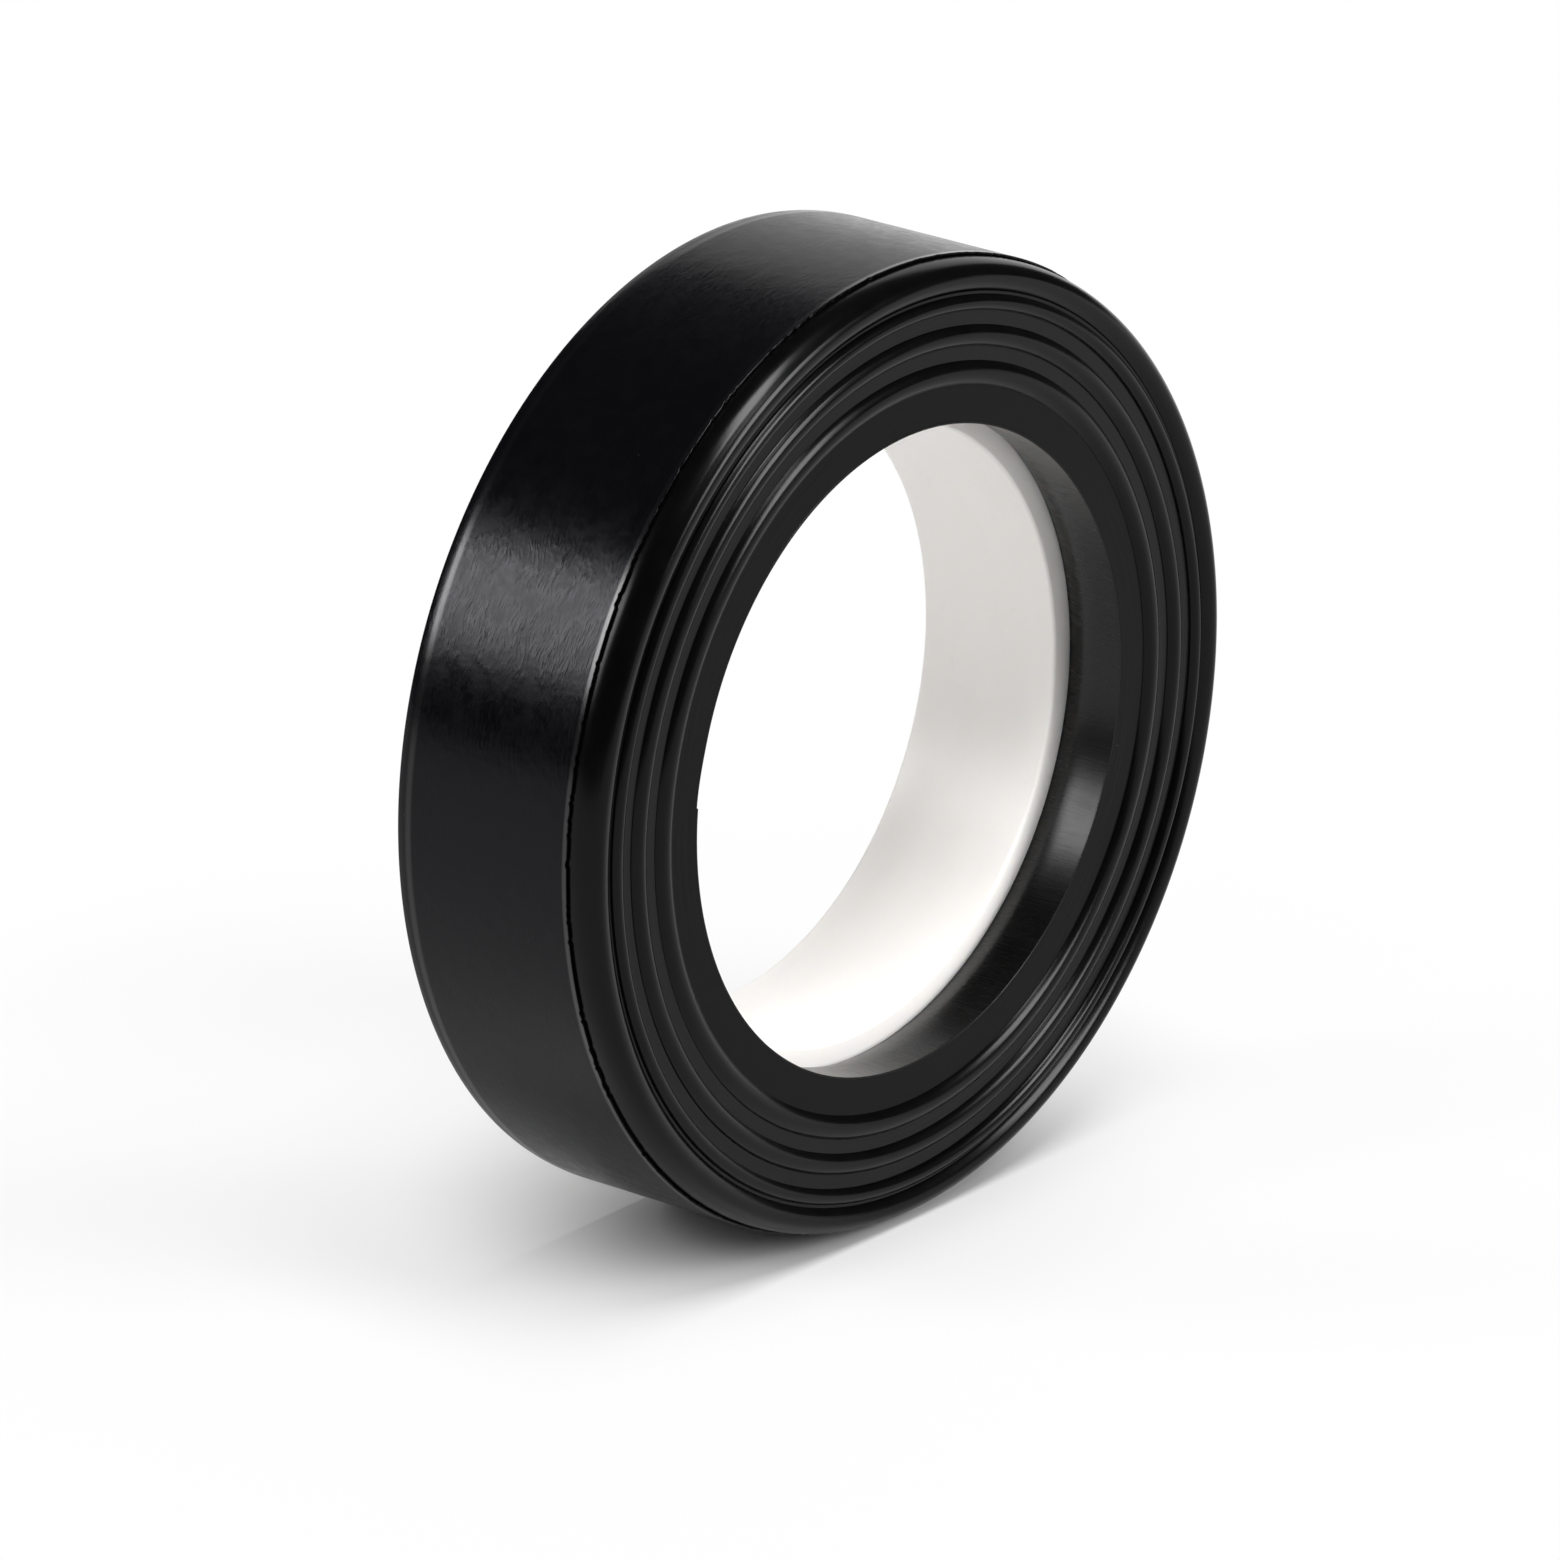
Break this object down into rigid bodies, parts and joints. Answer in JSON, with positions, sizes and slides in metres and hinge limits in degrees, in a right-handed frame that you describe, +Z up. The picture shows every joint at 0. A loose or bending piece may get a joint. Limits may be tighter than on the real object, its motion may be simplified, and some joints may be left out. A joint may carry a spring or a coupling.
{
  "type": "electrical tape roll",
  "caption": "Roll of black PVC electrical tape on a recessed off-white plastic core, with ridged winding bands on its face and an outer end that peels off.",
  "frame": {"origin": "on the axis of the core's bore, midway across the tape's width", "axes": "+Y along the bore axis towards the flush back face, so the ridged front face looks along -Y; +Z up, with the roll standing on its rim"},
  "size_m": [0.062, 0.0154, 0.062],
  "materials": {
    "pvc_film": "satin black soft PVC, finely textured",
    "adhesive": "tacky black rubber adhesive, slightly glossy",
    "core_plastic": "off-white moulded plastic, smooth and slightly translucent"
  },
  "bodies": {
    "roll": {"core": "core_plastic", "first_turn_adhesive": "adhesive", "first_turn_film": "pvc_film", "flat_turns": "pvc_film", "ridge_one_turns": "pvc_film", "valley_one_turns": "pvc_film", "ridge_two_turns": "pvc_film", "valley_two_turns": "pvc_film", "ridge_three_turns": "pvc_film", "valley_three_turns": "pvc_film", "rim_turns": "pvc_film", "outer_turn_adhesive": "adhesive", "outer_turn_film": "pvc_film"},
    "free_end_1": {"free_end_film_1": "pvc_film", "free_end_adhesive_1": "adhesive"},
    "free_end_2": {"free_end_film_2": "pvc_film", "free_end_adhesive_2": "adhesive"},
    "free_end_3": {"free_end_film_3": "pvc_film", "free_end_adhesive_3": "adhesive"},
    "free_end_4": {"free_end_film_4": "pvc_film", "free_end_adhesive_4": "adhesive"},
    "free_end_5": {"free_end_film_5": "pvc_film", "free_end_adhesive_5": "adhesive"},
    "free_end_6": {"free_end_film_6": "pvc_film", "free_end_adhesive_6": "adhesive"}
  },
  "joints": [
    {"name": "peel", "type": "hinge", "parent": "roll", "child": "free_end_1", "pos_m": [0.03053, 0, -0.00538], "axis": [0, 1, 0], "range_deg": [0, 120]},
    {"name": "uncurl_2", "type": "hinge", "parent": "free_end_1", "child": "free_end_2", "pos_m": [0.031, 0, 0], "axis": [0, 1, 0], "range_deg": [0, 7]},
    {"name": "uncurl_3", "type": "hinge", "parent": "free_end_2", "child": "free_end_3", "pos_m": [0.03053, 0, 0.00538], "axis": [0, 1, 0], "range_deg": [0, 7]},
    {"name": "uncurl_4", "type": "hinge", "parent": "free_end_3", "child": "free_end_4", "pos_m": [0.02913, 0, 0.0106], "axis": [0, 1, 0], "range_deg": [0, 7]},
    {"name": "uncurl_5", "type": "hinge", "parent": "free_end_4", "child": "free_end_5", "pos_m": [0.02685, 0, 0.0155], "axis": [0, 1, 0], "range_deg": [0, 7]},
    {"name": "uncurl_6", "type": "hinge", "parent": "free_end_5", "child": "free_end_6", "pos_m": [0.02375, 0, 0.01993], "axis": [0, 1, 0], "range_deg": [0, 7]}
  ],
  "couplings": [
    {"joint": "uncurl_2", "follows": "peel", "ratio": 0.058333},
    {"joint": "uncurl_3", "follows": "peel", "ratio": 0.058333},
    {"joint": "uncurl_4", "follows": "peel", "ratio": 0.058333},
    {"joint": "uncurl_5", "follows": "peel", "ratio": 0.058333},
    {"joint": "uncurl_6", "follows": "peel", "ratio": 0.058333}
  ]
}
